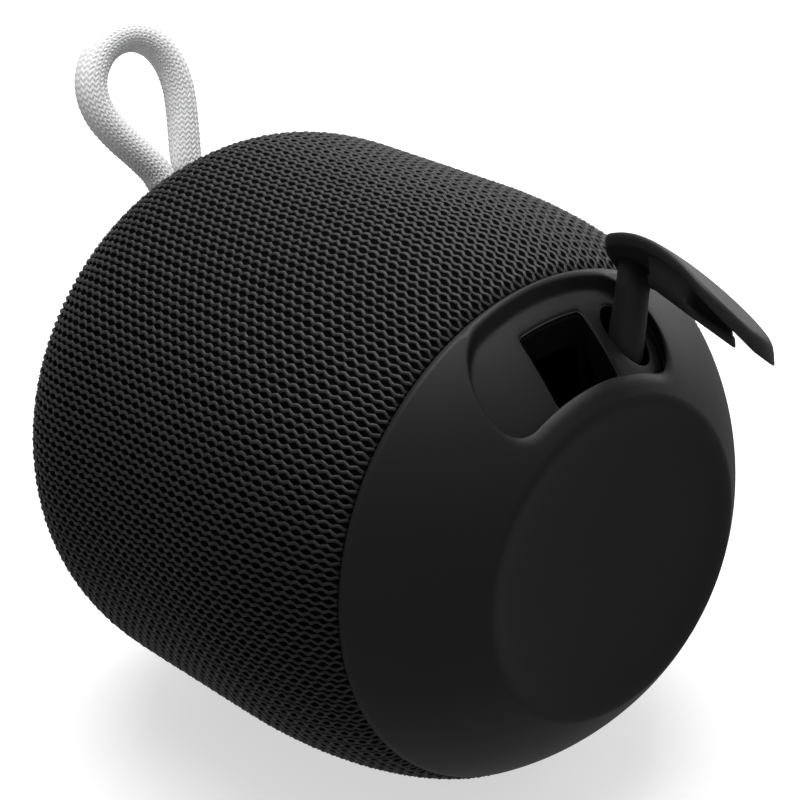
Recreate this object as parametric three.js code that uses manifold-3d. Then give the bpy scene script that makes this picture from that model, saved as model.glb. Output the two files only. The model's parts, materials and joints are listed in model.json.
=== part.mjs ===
// Pocket shower speaker lying on its side: a fabric-covered barrel with a rubber base,
// a charging port under a tethered rubber door, keys on its top cap and a carry loop.
// Millimetres, +Z up. The barrel's axis runs along X: its base faces +X and its top -X.
// "height" below always means the distance from the foot plane along that axis.
import * as THREE from 'three';
import { mergeVertices } from 'three/addons/utils/BufferGeometryUtils.js';
import Module from 'manifold-3d';

const wasm = await Module();
wasm.setup();

// Driving dimensions
const ROUND = 32;                  // facets round the barrel; one of them faces the ground
const DRIVER_ROUND = 24;           // facets round the drivers and the battery
const SMALL_ROUND = 16;            // facets round small turned pieces
const GAP = 0.3;                   // clearance between separate pieces
const BODY_RADIUS = 46.7;
const FOOT_RADIUS = 25;
const DISH_RADIUS = 23.6;
const DISH_DEPTH = 1.7;
const BODY_HEIGHT = 102;
const BASE_SEAM = [40.3, 14.8];    // radius and height where the fabric meets the base
const TOP_SEAM = [33.5, 98.2];     // radius and height where the fabric meets the top cap
const FABRIC_THICKNESS = 1.0;
const REST_FLAT = 46.1;            // the soft sleeve is pressed flat this far below the axis
const CHASSIS_WALL = 2.2;

const DRIVER_HEIGHT = 58;          // of the axes of the drivers and passive radiators
const BAFFLE_REACH = 33.4;         // from the barrel's axis to the mouth of each baffle tube
const CONE_HEIGHT = 32.3;

// Charging port, in the same axes: across is Y, height is measured from the foot plane
const PORT_HEIGHT = 7.7;
const PORT_HALF_LENGTH = 17.5;
const PORT_HALF_WIDTH = 5.7;
const PORT_DEPTH = 2.5;
const WELL = { low: 3.5, high: 11.5, left: -6.7, right: 5.6, bottom: 20 };

// Tethered door
const DOOR_THICKNESS = 1.8;
const POST = new THREE.Vector3(-8.3, 12.6, 33);   // where the post meets the cover
const POST_LEAN = THREE.MathUtils.degToRad(12);   // the post leans outwards, towards +Y
const POST_RADIUS = 2.2;
const BORE_RADIUS = 3.5;
const DOOR_SWIVEL = THREE.MathUtils.degToRad(76); // from lined up with the port
const DOOR_TILT = THREE.MathUtils.degToRad(-18);  // the soft post lets the far end ride up
const DOOR_ROLL = THREE.MathUtils.degToRad(7);    // and the cover roll back a little
const DOOR_LIFT = 9.4;

const CORD_DIAMETER = 5.3;

// Finishes
const finish = (color, roughness, metalness = 0) => ({ color, roughness, metalness });
const FABRIC = finish(0x151517, 0.75);
const RUBBER = finish(0x232426, 0.65);
const PLASTIC = finish(0x2c2d30, 0.55);
const GREY_PLASTIC = finish(0x6a6c70, 0.6);
const STEEL = finish(0xb4b6ba, 0.35, 0.9);
const BOARD = finish(0x1f5a3a, 0.6);
const CORD = finish(0xeeeeec, 0.8);
const CELL = finish(0x3c62a0, 0.5);
const PAPER = finish(0x3a3a3c, 0.85);
const FOAM = finish(0x4a4a4c, 0.9);
const LENS = finish(0xe8eef2, 0.3);

const speaker = new THREE.Group();

function add(name, geometry, look) {
  const mesh = new THREE.Mesh(geometry, new THREE.MeshStandardMaterial(look));
  mesh.name = name;
  speaker.add(mesh);
}

// Solids: joining and cutting closed meshes

function solidOf(geometry) {
  const bare = new THREE.BufferGeometry();
  bare.setAttribute('position', geometry.getAttribute('position').clone());
  if (geometry.index) bare.setIndex(geometry.index.clone());
  const merged = mergeVertices(bare, 1e-4);
  const source = merged.index.array;
  const corners = [];
  for (let i = 0; i < source.length; i += 3) {
    const [a, b, c] = [source[i], source[i + 1], source[i + 2]];
    if (a !== b && b !== c && c !== a) corners.push(a, b, c);
  }
  const vertProperties = new Float32Array(merged.getAttribute('position').array);
  return new wasm.Manifold(new wasm.Mesh({
    numProp: 3,
    vertProperties,
    triVerts: new Uint32Array(corners),
  }));
}

function geometryOf(solid) {
  const mesh = solid.getMesh();
  const geometry = new THREE.BufferGeometry();
  geometry.setAttribute('position', new THREE.BufferAttribute(mesh.vertProperties, 3));
  geometry.setIndex(new THREE.BufferAttribute(mesh.triVerts, 1));
  return geometry;
}

function cut(geometry, ...tools) {
  return geometryOf(tools.reduce((left, tool) => left.subtract(solidOf(tool)), solidOf(geometry)));
}

function join(geometry, ...others) {
  return geometryOf(others.reduce((all, other) => all.add(solidOf(other)), solidOf(geometry)));
}

function common(first, second) {
  return geometryOf(solidOf(first).intersect(solidOf(second)));
}

// Shapes

// A profile of [radius, height] pairs, listed anticlockwise, turned about the barrel's axis.
function turnedOnBarrel(profile, segments = ROUND) {
  const points = profile.map(([radius, height]) => new THREE.Vector2(radius, height));
  const geometry = new THREE.LatheGeometry(points, segments, Math.PI / segments);
  return geometry.rotateZ(Math.PI / 2);
}

// The same, turned about Z, with [radius, z] pairs.
function turned(profile, segments = SMALL_ROUND) {
  const points = profile.map(([radius, z]) => new THREE.Vector2(radius, z));
  return new THREE.LatheGeometry(points, segments).rotateX(Math.PI / 2);
}

function rod(radius, low, high, segments = SMALL_ROUND) {
  return turned([[0, low], [radius, low], [radius, high], [0, high]], segments);
}

function ring(inner, outer, low, high, segments = SMALL_ROUND) {
  return turned([[inner, low], [outer, low], [outer, high], [inner, high], [inner, low]], segments);
}

function barrelRing(inner, outer, low, high) {
  return turnedOnBarrel([[inner, low], [outer, low], [outer, high], [inner, high], [inner, low]]);
}

function barrelDisc(radius, low, high) {
  return turnedOnBarrel([[0, low], [radius, low], [radius, high], [0, high]]);
}

// A box given by its low and high corners in height above the foot plane, Y and Z.
function block(lowHeight, highHeight, lowY, highY, lowZ, highZ) {
  const geometry = new THREE.BoxGeometry(highHeight - lowHeight, highY - lowY, highZ - lowZ);
  return geometry.translate(-(lowHeight + highHeight) / 2, (lowY + highY) / 2, (lowZ + highZ) / 2);
}

// A round-ended outline, long in Y, centred on the origin of the XY plane.
function roundEnded(halfLength, halfWidth, Outline = THREE.Shape) {
  const outline = new Outline();
  const centre = halfLength - halfWidth;
  outline.absarc(0, centre, halfWidth, 0, Math.PI, false);
  outline.absarc(0, -centre, halfWidth, Math.PI, 2 * Math.PI, false);
  return outline;
}

function extruded(shape, low, high, curveSegments = 8) {
  const geometry = new THREE.ExtrudeGeometry(shape, {
    depth: high - low,
    bevelEnabled: false,
    curveSegments,
  });
  return geometry.translate(0, 0, low);
}

// The barrel's outline in radius and height, as curves that meet smoothly.
const vector = (radius, height) => new THREE.Vector2(radius, height);
const baseOutline = new THREE.CubicBezierCurve(
  vector(FOOT_RADIUS, 0), vector(30.9, 3.8), vector(36.45, 8.95), vector(...BASE_SEAM),
);
const lowerOutline = new THREE.CubicBezierCurve(
  vector(...BASE_SEAM), vector(43.6, 19.8), vector(BODY_RADIUS, 32), vector(BODY_RADIUS, 46),
);
const upperOutline = new THREE.CubicBezierCurve(
  vector(BODY_RADIUS, 74), vector(BODY_RADIUS, 88), vector(41.9, 89.6), vector(...TOP_SEAM),
);

// Points along an outline, moved inwards by a depth.
function inset(curve, depth, steps) {
  const points = [];
  for (let step = 0; step <= steps; step += 1) {
    const point = curve.getPoint(step / steps);
    const along = curve.getTangent(step / steps);
    points.push([point.x - along.y * depth, point.y + along.x * depth]);
  }
  return points;
}

const sideOutline = (depth) => [...inset(lowerOutline, depth, 5), ...inset(upperOutline, depth, 6)];

// A tube of revolution between two depths under the fabric's surface.
function sideShell(outerDepth, innerDepth) {
  const outer = sideOutline(outerDepth);
  const inner = sideOutline(innerDepth).reverse();
  return turnedOnBarrel([...outer, ...inner, outer[0]]);
}

// Fabric: the knitted sleeve, pressed flat along the line it lies on.
function grilleFabric() {
  const ground = block(0, BODY_HEIGHT, -BODY_RADIUS, BODY_RADIUS, -BODY_RADIUS - 1, -REST_FLAT);
  return cut(sideShell(0, FABRIC_THICKNESS), ground);
}

// Everything inside the barrel at a depth under the surface.
function insideSide(depth) {
  const outer = sideOutline(depth);
  return turnedOnBarrel([[0, outer[0][1]], ...outer, [0, outer.at(-1)[1]]]);
}

// Everything inside the base at a depth under its curved surface.
function insideBase(depth, segments = ROUND) {
  const outer = inset(baseOutline, depth, 6);
  const foot = [outer[0][0] - 1.7, outer[0][1] - 1.1];    // carries the curve on past the edge
  return turnedOnBarrel([[0, foot[1]], foot, ...outer, [0, outer.at(-1)[1]]], segments);
}

// The port's round-ended outline, cut straight down along Z.
function portPrism(halfLength, halfWidth, low, high) {
  return extruded(roundEnded(halfLength, halfWidth), low, high).translate(-PORT_HEIGHT, 0, 0);
}

// Places something drawn along Z on the leaning line of the door's post.
function onPost(geometry) {
  return geometry.rotateX(-POST_LEAN).translate(POST.x, POST.y, POST.z);
}

// Places along the post's line, counted from where the post meets the closed cover
const NECK_TOP = -10.8;
const NECK_BOTTOM = -12.2;
const CHAMBER_BOTTOM = -27.4;
const CHAMBER_RADIUS = 3.1;
const NECK_RADIUS = 2.55;

// Heights on Z that every cutter at the port starts below or ends above
const BELOW_PORT = 18;
const ABOVE_PORT = 50;

function well() {
  return block(WELL.low, WELL.high, WELL.left, WELL.right, WELL.bottom, ABOVE_PORT);
}

// Base cap: a thick rubber cap with a shallow dish, a flat foot ring and the port's recess.
const CAP_FLOOR = 4.0;
const CAP_INNER_EDGE = [35, BASE_SEAM[1] - 0.2];
const CAP_CORNER = 20.8;
const DISH = [
  [0, DISH_DEPTH], [10, DISH_DEPTH * 0.94], [18, DISH_DEPTH * 0.7], [DISH_RADIUS - 1.2, 0.5],
  [DISH_RADIUS, 0],
];

function baseCap() {
  const outer = inset(baseOutline, 0, 7);
  outer[outer.length - 1] = [BASE_SEAM[0] - 0.12, CAP_INNER_EDGE[1]];
  const cap = turnedOnBarrel([
    ...DISH, ...outer, CAP_INNER_EDGE, [CAP_CORNER, CAP_FLOOR], [0, CAP_FLOOR],
  ]);
  const opening = portPrism(PORT_HALF_LENGTH, PORT_HALF_WIDTH, BELOW_PORT, ABOVE_PORT);
  const recess = cut(opening, insideBase(PORT_DEPTH));
  const bore = onPost(rod(BORE_RADIUS, NECK_TOP - 6, 12));
  return cut(cap, recess, well(), bore);
}

// Moulded housing behind the port: the well's walls, the socket's seat and the post's chamber.
function portHousing() {
  const underCap = turnedOnBarrel([
    [0, CAP_FLOOR + GAP], [CAP_CORNER - 0.1, CAP_FLOOR + GAP], [34.3, 14.45], [0, 14.45],
  ]);
  const wellWalls = block(CAP_FLOOR, 14, -9.2, 16.4, 12, 40);
  const postTower = block(CAP_FLOOR, 14, 3.4, 16.4, 4.5, 13);
  const body = common(join(wellWalls, postTower), underCap);
  const socketSeat = block(5.8, 9.2, -4.6, 3.5, 10, 22);
  const neck = onPost(rod(NECK_RADIUS, NECK_BOTTOM - 1, 4));
  const mouth = onPost(rod(BORE_RADIUS, NECK_TOP, 6));
  const chamber = onPost(rod(CHAMBER_RADIUS, CHAMBER_BOTTOM, NECK_BOTTOM));
  return cut(body, well(), socketSeat, neck, mouth, chamber);
}

// Charging socket: a thin metal shell with its tongue, on a small board.
const SOCKET = { low: 6.1, high: 8.9, left: -4.3, right: 3.2, bottom: 12.2, top: 20.6 };
const SOCKET_WALL = 0.35;

function socketShell() {
  const { low, high, left, right, bottom, top } = SOCKET;
  const wall = SOCKET_WALL;
  const hollow = block(low + wall, high - wall, left + wall, right - wall, bottom + 1, top + 1);
  return cut(block(low, high, left, right, bottom, top), hollow);
}

function socketTongue() {
  return block(7.2, 7.8, -3, 1.9, SOCKET.bottom + 1 + GAP, SOCKET.top - 0.6);
}

// Door: cover, plug and post in one rubber moulding, then swung, drooped and lifted open.
const PLUG = { low: 3.9, high: 11.1, left: -6.3, right: 5.3, depth: 2.2, wall: 1.3 };
const DOOR_SPARE_PULL = 1.5;       // how much further out the open door can be pulled
const RETAINER_TOP = NECK_BOTTOM - DOOR_LIFT - GAP - DOOR_SPARE_PULL;
const RETAINER_HEIGHT = 1.6;
const POST_END_RADIUS = 1.4;
const POST_KNOB = [POST_END_RADIUS + 0.6, 0.8];         // radius and height of the end's knob

function doorCover() {
  const shell = cut(insideBase(0, 2 * ROUND), insideBase(DOOR_THICKNESS, 2 * ROUND));
  const outline = portPrism(PORT_HALF_LENGTH - GAP, PORT_HALF_WIDTH - GAP, BELOW_PORT, ABOVE_PORT);
  return common(outline, shell);
}

function doorPlug() {
  const { low, high, left, right, depth, wall } = PLUG;
  const skin = insideBase(DOOR_THICKNESS - 0.4);
  const core = insideBase(DOOR_THICKNESS + depth);
  const plug = cut(common(block(low, high, left, right, BELOW_PORT, ABOVE_PORT), skin), core);
  const inner = block(
    low + wall, high - wall, left + wall, right - wall, BELOW_PORT, ABOVE_PORT,
  );
  return cut(plug, common(inner, insideBase(DOOR_THICKNESS + 0.3)));
}

function openDoor(geometry) {
  return geometry
    .translate(-POST.x, -POST.y, -POST.z)
    .rotateX(POST_LEAN)
    .rotateZ(DOOR_SWIVEL)
    .rotateX(-POST_LEAN)
    .rotateY(DOOR_TILT)
    .rotateX(DOOR_ROLL)
    .translate(0, DOOR_LIFT * Math.sin(POST_LEAN), DOOR_LIFT * Math.cos(POST_LEAN))
    .translate(POST.x, POST.y, POST.z);
}

function doorPost() {
  const end = RETAINER_TOP + DOOR_LIFT;
  const foot = end - RETAINER_HEIGHT - 2 * GAP;
  const [knob, knobHeight] = POST_KNOB;
  const root = DOOR_LIFT - 0.6;                          // just inside the cover
  return onPost(turned([
    [0, foot - knobHeight], [knob, foot - knobHeight], [knob, foot], [POST_END_RADIUS, foot],
    [POST_END_RADIUS, end + GAP], [POST_RADIUS, end + GAP], [POST_RADIUS, root], [0, root],
  ]));
}

function doorRetainer() {
  const top = RETAINER_TOP + DOOR_LIFT;
  return onPost(ring(POST_END_RADIUS + GAP, CHAMBER_RADIUS - GAP, top - RETAINER_HEIGHT, top));
}

// Chassis: the sealed inner barrel, with a baffle tube behind each speaker opening.
const CHASSIS_DEPTH = FABRIC_THICKNESS + GAP;
const DRIVER_TUBE = 23.3;
const DRIVER_MOUTH = 19.5;
const PASSIVE_TUBE = [27, 20];     // half length along the barrel and half width
const PASSIVE_MOUTH = [23.5, 16.5];
const TUBE_INNER_END = 28;
const BOSS_RING = 30.5;
const BOSS_RADIUS = 3.4;
const SCREW_RADIUS = 1.3;
const screwAngles = [45, 135, 225, 315].map(THREE.MathUtils.degToRad);

// Turns something that faces +Z at the driver height to face any way round the barrel.
function facing(geometry, angle) {
  return geometry.translate(-DRIVER_HEIGHT, 0, 0).rotateX(angle);
}

const DRIVER_SIDES = [['front', Math.PI], ['rear', 0]];
const PASSIVE_SIDES = [['left', Math.PI / 2], ['right', -Math.PI / 2]];

// A round-ended prism, long in X, standing along Z.
function longPrism([halfLength, halfWidth], low, high, hole) {
  const shape = roundEnded(halfLength, halfWidth);
  if (hole) shape.holes.push(roundEnded(hole[0], hole[1], THREE.Path));
  return extruded(shape, low, high, 6).rotateZ(Math.PI / 2);
}

function screwPlace(geometry, angle, radius = BOSS_RING) {
  return geometry.rotateY(-Math.PI / 2).translate(0, 0, radius).rotateX(angle);
}

function chassis() {
  const inside = insideSide(CHASSIS_DEPTH + 0.2);
  let body = sideShell(CHASSIS_DEPTH, CHASSIS_DEPTH + CHASSIS_WALL);
  for (const [, angle] of DRIVER_SIDES) {
    const tube = facing(rod(DRIVER_TUBE, BAFFLE_REACH, 50, DRIVER_ROUND), angle);
    const mouth = facing(rod(DRIVER_MOUTH, TUBE_INNER_END, 50, DRIVER_ROUND), angle);
    body = cut(join(body, common(tube, inside)), mouth);
  }
  for (const [, angle] of PASSIVE_SIDES) {
    const tube = facing(longPrism(PASSIVE_TUBE, BAFFLE_REACH, 50), angle);
    const mouth = facing(longPrism(PASSIVE_MOUTH, TUBE_INNER_END, 50), angle);
    body = cut(join(body, common(tube, inside)), mouth);
  }
  for (const angle of screwAngles) {
    const boss = screwPlace(rod(BOSS_RADIUS, 18.9, 27, 12), angle);
    const rib = block(19.4, 26, -1.5, 1.5, BOSS_RING, 39).rotateX(angle);
    const hole = screwPlace(rod(SCREW_RADIUS + GAP, 18, 25, 12), angle);
    body = cut(join(body, common(join(boss, rib), inside)), hole);
  }
  return body;
}

// Base frame: the plate that closes the chassis behind the base cap.
const FRAME_RADIUS = 36.4;
const FRAME_LOW = 16;
const FRAME_HIGH = 18.5;

function baseFrame() {
  const hole = (angle) => screwPlace(rod(SCREW_RADIUS + GAP, 10, 22, 12), angle);
  return cut(barrelDisc(FRAME_RADIUS, FRAME_LOW, FRAME_HIGH), ...screwAngles.map(hole));
}

function frameScrew(angle) {
  const headTop = FRAME_LOW - GAP;
  const profile = [
    [0, headTop - 1.8], [2.4, headTop - 1.8], [2.6, headTop], [SCREW_RADIUS, headTop],
    [SCREW_RADIUS, 24], [0, 24.6],
  ];
  return screwPlace(turned(profile, 12), angle);
}

// One full-range driver, drawn facing +Z from the barrel's axis.
const FLANGE_TOP = BAFFLE_REACH - 1.3;
const CONE_RADIUS = 16.5;

function driverBasket() {
  return turned([
    [14.6, 17.5], [16.4, 17.5], [21, FLANGE_TOP - 2], [22.8, FLANGE_TOP - 2], [22.8, FLANGE_TOP],
    [19.2, FLANGE_TOP], [19.2, FLANGE_TOP - 1], [14.6, 19], [14.6, 17.5],
  ], DRIVER_ROUND);
}

function driverMagnet() {
  return turned([
    [0, 3.2], [15, 3.2], [15, 17.2], [11.2, 17.2], [11.2, 8], [8.8, 8], [8.8, 17.2], [0, 17.2],
  ], DRIVER_ROUND);
}

function driverCone() {
  return turned([
    [0, 22.8], [5, 22.2], [9.7, 20.4], [9.7, 11], [10.3, 11], [10.3, 20],
    [CONE_RADIUS, CONE_HEIGHT - 0.8], [CONE_RADIUS, CONE_HEIGHT],
    [10.2, 21.6], [5, 23.2], [0, 23.8],
  ], DRIVER_ROUND);
}

function driverGasket() {
  return ring(19.8, 22.6, FLANGE_TOP + GAP, BAFFLE_REACH - GAP, DRIVER_ROUND);
}

function driverSurround() {
  return turned([
    [CONE_RADIUS + 0.4, 31.7], [18.9, 31.7], [18.9, 32.4], [18.3, 33], [17.6, 33],
    [CONE_RADIUS + 0.4, 32.4], [CONE_RADIUS + 0.4, 31.7],
  ], DRIVER_ROUND);
}

// One passive radiator, drawn facing +Z from the barrel's axis.
const PASSIVE_FRAME = [26.6, 19.6];
const PASSIVE_FRAME_HOLE = [22.6, 15.6];
const PASSIVE_SURROUND = [22.3, 15.3];
const PASSIVE_SURROUND_HOLE = [19.3, 12.3];
const PASSIVE_PLATE = [18.9, 11.9];

const passiveFrame = () => longPrism(PASSIVE_FRAME, 31, 33.1, PASSIVE_FRAME_HOLE);
const passiveSurround = () => longPrism(PASSIVE_SURROUND, 31.8, 33, PASSIVE_SURROUND_HOLE);
const passivePlate = () => longPrism(PASSIVE_PLATE, 31.6, 33.2);

// Top cap, its keys and what they press, all drawn facing +Z and turned to face -X.
const CAP_UNDERSIDE = 99.4;
const KEY_TRAVEL_GAP = 0.3;        // under the cap, around a key's flange
const KEY_TOP = BODY_HEIGHT - 0.2;
const KEY_FLANGE = 1.2;            // how far the flange reaches past the key
const KEY_STEM = 1.2;
const MARK = { length: 4.4, width: 0.9 };
const LIGHT_AT = [-20, 0];
const LIGHT_RADIUS = 1.0;
const KEYS = [
  { name: 'play', at: [0, 0], radius: 6.5 },
  { name: 'power', at: [-17.5, 9], radius: 4 },
  { name: 'pairing', at: [-17.5, -9], radius: 4 },
  { name: 'volume_up', at: [9, 14.5], radius: 5, mark: 'plus' },
  { name: 'volume_down', at: [9, -14.5], radius: 5, mark: 'minus' },
];

// at is [z, y] on the top face.
function onTop(geometry, [z, y]) {
  return geometry.rotateY(-Math.PI / 2).translate(0, y, z);
}

function topCap() {
  const cap = turnedOnBarrel([
    [0, CAP_UNDERSIDE], [31, CAP_UNDERSIDE], [33, 98.5], [33.3, 98.5], [31, 100.9], [29.2, 101.7],
    [26.5, BODY_HEIGHT], [0, BODY_HEIGHT],
  ]);
  const holes = KEYS.map(({ at, radius }) => onTop(rod(radius + GAP, 95, 110, SMALL_ROUND), at));
  return cut(cap, ...holes, onTop(rod(LIGHT_RADIUS + GAP, 95, 110, 12), LIGHT_AT));
}

function statusLight() {
  return onTop(rod(LIGHT_RADIUS, CAP_UNDERSIDE - 2, BODY_HEIGHT - 0.1, 12), LIGHT_AT);
}

function key({ at, radius, mark }) {
  const flangeTop = CAP_UNDERSIDE - KEY_TRAVEL_GAP;
  const rim = radius + KEY_FLANGE;
  let body = turned([
    [0, flangeTop - 2], [KEY_STEM, flangeTop - 2], [KEY_STEM, flangeTop - 1], [rim, flangeTop - 1],
    [rim, flangeTop], [radius, flangeTop], [radius, KEY_TOP - 0.4], [radius - 0.4, KEY_TOP],
    [0, KEY_TOP],
  ]);
  if (mark) {
    const bar = (x, y) => new THREE.BoxGeometry(x, y, 1).translate(0, 0, KEY_TOP);
    body = join(body, bar(MARK.width, MARK.length));
    if (mark === 'plus') body = join(body, bar(MARK.length, MARK.width));
  }
  return onTop(body, at);
}

function keySwitch({ at }) {
  const top = CAP_UNDERSIDE - KEY_TRAVEL_GAP - 2 - 1;
  const base = new THREE.BoxGeometry(4.5, 4.5, 1).translate(0, 0, top - 1.1);
  return onTop(join(base, rod(0.9, top - 1.2, top, 12)), at);
}

// Carry loop: both legs leave the top seam on the port's side, one in front of the other.
const LOOP_EXIT = new THREE.Vector3(-98, -2.5, 35.6);
const LOOP_RISE = new THREE.Vector3(-0.38, 0, 0.925);
const LOOP_ROUTE = [              // [sideways, up] from the exit, in the loop's plane
  [-2.9, 1.2], [-3.6, 3.6], [-5.6, 7.0], [-7.9, 10.5], [-9.7, 14.2], [-10.2, 17.8], [-9.1, 21.4],
  [-6.2, 24.5], [-2.4, 25.9], [1.2, 25.5], [4.2, 23.4], [5.9, 19.8], [6.1, 15.6], [5.3, 11.6],
  [4.2, 7.8], [3.1, 4.0], [2.8, 1.2],
];

function carryLoop() {
  const points = LOOP_ROUTE.map(([sideways, up]) => LOOP_EXIT.clone()
    .addScaledVector(LOOP_RISE, up)
    .add(new THREE.Vector3(0, sideways, 0)));
  const section = new THREE.Shape().absarc(0, 0, CORD_DIAMETER / 2, 0, 2 * Math.PI, false);
  return new THREE.ExtrudeGeometry(section, {
    steps: 24,
    curveSegments: 5,
    bevelEnabled: false,
    extrudePath: new THREE.CatmullRomCurve3(points),
  });
}

// Battery and its cradle
const BATTERY_RADIUS = 9;
const BATTERY_HALF_LENGTH = 30;
const BATTERY_HEIGHT = 29;

function battery() {
  const end = BATTERY_HALF_LENGTH;
  const cell = turned([
    [0, -end], [BATTERY_RADIUS, -end], [BATTERY_RADIUS, end], [2.8, end], [2.8, end + 0.8],
    [0, end + 0.8],
  ], DRIVER_ROUND);
  return cell.rotateX(-Math.PI / 2).translate(-BATTERY_HEIGHT, 0, 0);
}

function batteryCradle() {
  const bed = block(FRAME_HIGH + GAP, 27, -22, 22, -11, 11);
  const seat = rod(BATTERY_RADIUS + GAP, -40, 40, DRIVER_ROUND).rotateX(Math.PI / 2);
  return cut(bed, seat.translate(-BATTERY_HEIGHT, 0, 0));
}

// Assembly

add('base_cap', baseCap(), RUBBER);
add('grille_fabric', grilleFabric(), FABRIC);
add('top_cap', topCap(), RUBBER);
add('chassis', chassis(), PLASTIC);
add('base_frame', baseFrame(), PLASTIC);
add('base_seal', barrelRing(36.9, 37.9, 14.9, 15.2), FOAM);
add('top_seal', barrelRing(29.6, 31.2, 97.6, 99), FOAM);

add('port_housing', portHousing(), PLASTIC);
add('socket_shell', socketShell(), STEEL);
add('socket_tongue', socketTongue(), PLASTIC);
add('charging_board', block(4.6, 13, -12, 3.1, 10.2, 11.7), BOARD);
add('port_door', join(openDoor(join(doorCover(), doorPlug())), doorPost()), RUBBER);
add('door_retainer', doorRetainer(), GREY_PLASTIC);

for (const spec of KEYS) {
  add(`${spec.name}_key`, key(spec), RUBBER);
  add(`${spec.name}_switch`, keySwitch(spec), STEEL);
}
add('status_light', statusLight(), LENS);
add('control_board', barrelDisc(28, 92.6, 94.2), BOARD);
add('control_tray', barrelRing(24, 33.2, 90.6, 92.3), PLASTIC);
add('main_board', barrelDisc(34, 86, 87.6), BOARD);

for (const [side, angle] of DRIVER_SIDES) {
  add(`${side}_driver_basket`, facing(driverBasket(), angle), STEEL);
  add(`${side}_driver_magnet`, facing(driverMagnet(), angle), STEEL);
  add(`${side}_driver_cone`, facing(driverCone(), angle), PAPER);
  add(`${side}_driver_surround`, facing(driverSurround(), angle), RUBBER);
  add(`${side}_driver_gasket`, facing(driverGasket(), angle), FOAM);
}
for (const [side, angle] of PASSIVE_SIDES) {
  add(`${side}_passive_frame`, facing(passiveFrame(), angle), PLASTIC);
  add(`${side}_passive_surround`, facing(passiveSurround(), angle), RUBBER);
  add(`${side}_passive_plate`, facing(passivePlate(), angle), STEEL);
}

add('battery', battery(), CELL);
add('battery_cradle', batteryCradle(), PLASTIC);
screwAngles.forEach((angle, index) => add(`frame_screw_${index + 1}`, frameScrew(angle), STEEL));
add('carry_loop', carryLoop(), CORD);

// The origin is under the middle of the box that holds everything but the carry loop.
const bounds = new THREE.Box3();
for (const mesh of speaker.children) {
  if (mesh.name !== 'carry_loop') bounds.expandByObject(mesh);
}
speaker.position.set(
  -(bounds.min.x + bounds.max.x) / 2, -(bounds.min.y + bounds.max.y) / 2, -bounds.min.z,
);
speaker.updateMatrixWorld(true);

export default speaker;
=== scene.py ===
"""Looks of a pocket shower speaker that lies on its side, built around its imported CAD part.

Sizes are in millimetres in the barrel's own terms: height is measured from the foot plane along
the barrel, across is +Y and up is +Z from the barrel's axis. place() turns them into the row frame.
"""
import json
from math import cos, pi, radians, sin, tau

import bmesh
import bpy
import numpy as np
from mathutils import Matrix, Vector
from mathutils.geometry import delaunay_2d_cdt


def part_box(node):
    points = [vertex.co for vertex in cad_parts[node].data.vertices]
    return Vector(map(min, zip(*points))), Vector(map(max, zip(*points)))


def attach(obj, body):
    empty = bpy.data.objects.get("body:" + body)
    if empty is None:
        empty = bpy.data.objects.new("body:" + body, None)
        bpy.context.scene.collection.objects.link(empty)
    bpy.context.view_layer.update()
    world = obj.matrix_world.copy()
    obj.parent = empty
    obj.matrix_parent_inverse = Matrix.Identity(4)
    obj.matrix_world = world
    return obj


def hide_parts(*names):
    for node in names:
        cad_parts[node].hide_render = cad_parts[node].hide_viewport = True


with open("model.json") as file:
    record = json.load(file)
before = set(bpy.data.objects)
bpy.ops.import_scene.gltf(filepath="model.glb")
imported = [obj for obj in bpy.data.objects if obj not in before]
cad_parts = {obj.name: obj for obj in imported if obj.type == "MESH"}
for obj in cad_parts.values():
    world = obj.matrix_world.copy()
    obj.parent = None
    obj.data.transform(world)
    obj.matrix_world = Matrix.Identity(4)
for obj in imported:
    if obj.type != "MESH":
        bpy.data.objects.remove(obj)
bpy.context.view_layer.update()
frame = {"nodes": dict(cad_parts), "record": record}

MM = 0.001
FOOT_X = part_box("base_cap")[1].x
AXIS_Z = sum(corner.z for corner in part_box("top_cap")) / 2

# Barrel, in radius and height
BODY_RADIUS = 46.7
BODY_HEIGHT = 102
BASE_CURVE = [(25, 0), (30.9, 3.8), (36.45, 8.95), (40.3, 14.8)]
LOWER_CURVE = [(40.3, 14.8), (43.6, 19.8), (BODY_RADIUS, 32), (BODY_RADIUS, 46)]
UPPER_CURVE = [(BODY_RADIUS, 74), (BODY_RADIUS, 88), (41.9, 89.6), (33.5, 98.2)]
DISH = [(0, 1.7), (5, 1.68), (10, 1.6), (14.5, 1.42), (18, 1.16), (20.4, 0.86), (21.9, 0.56),
        (22.9, 0.28), (23.6, 0.1), (24.3, 0.02), (25, 0)]

# Charging port
PORT_HEIGHT = 7.7
PORT_HALF_LENGTH = 17.5
PORT_HALF_WIDTH = 5.7
PORT_BULGE = 0.65                    # how far the outline's high side bows out
FLOOR_DEPTH = 1.7
WELL = (3.5, 11.5, -6.7, 5.6)        # low, high, left, right
WELL_CORNER = 0.8
WELL_BOTTOM = 20.4
BORE_RADIUS = 3.45
BORE_PLACE = (8.25, 11.3)            # its mouth, in height and across

# Tethered door
POST = Vector((-8.3, 12.6, 33))
POST_LEAN = radians(12)
POST_LINE = Vector((0, sin(POST_LEAN), cos(POST_LEAN)))
POST_RADIUS = 2.2
POST_FOOT = -25.9
DOOR_LIFT = 9.4
DOOR_SWIVEL = radians(76)
DOOR_TILT = radians(-18)
DOOR_ROLL = radians(7)
DOOR_THICKNESS = 1.8
DOOR_GAP = 0.3
DOOR_DROOP = 1.5                     # how far the open door's free end hangs down
DOOR_REACH = 30                      # from the post to that end
DOOR_STRAIGHTER = (4.5, 1.5)         # how far its low side opens out, at the post's end and the free end
PLUG = (3.9, 11.1, -6.3, 5.3)        # low, high, left, right
PLUG_CORNER = 1.35

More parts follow.
